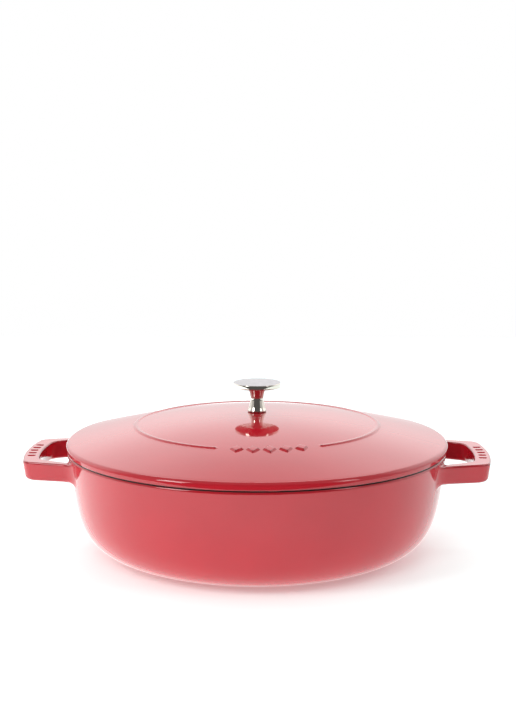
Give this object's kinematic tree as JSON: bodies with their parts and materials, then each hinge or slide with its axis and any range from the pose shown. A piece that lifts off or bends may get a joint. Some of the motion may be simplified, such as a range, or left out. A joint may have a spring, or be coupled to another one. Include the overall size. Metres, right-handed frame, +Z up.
{
  "type": "covered cast iron pan",
  "caption": "Shallow round enamelled cast iron pan with loop handles cast on opposite sides and a domed lid that lifts off by a metal knob.",
  "frame": {"origin": "centre of the pan's foot, on the surface that the pan stands on", "axes": "+Z up out of the pan, +X along the line through both handles, front (open part of the lid's ring) towards -Y"},
  "size_m": [0.3598, 0.294, 0.1327],
  "materials": {
    "enamelled_iron": "glossy red enamel outside, matt black enamel inside, on the rim and on the base",
    "nickel_plate": "polished nickel plate",
    "steel": "plain stainless steel"
  },
  "bodies": {
    "pan_body": {"pan": "enamelled_iron"},
    "lid_body": {"lid": "enamelled_iron", "lid_knob": "nickel_plate", "knob_screw": "steel", "flat_washer": "steel", "spring_washer": "steel"}
  },
  "joints": [
    {"name": "lid_lift", "type": "slide", "parent": "pan_body", "child": "lid_body", "axis": [0, 0, 1], "range_m": [0, 0.12]}
  ]
}
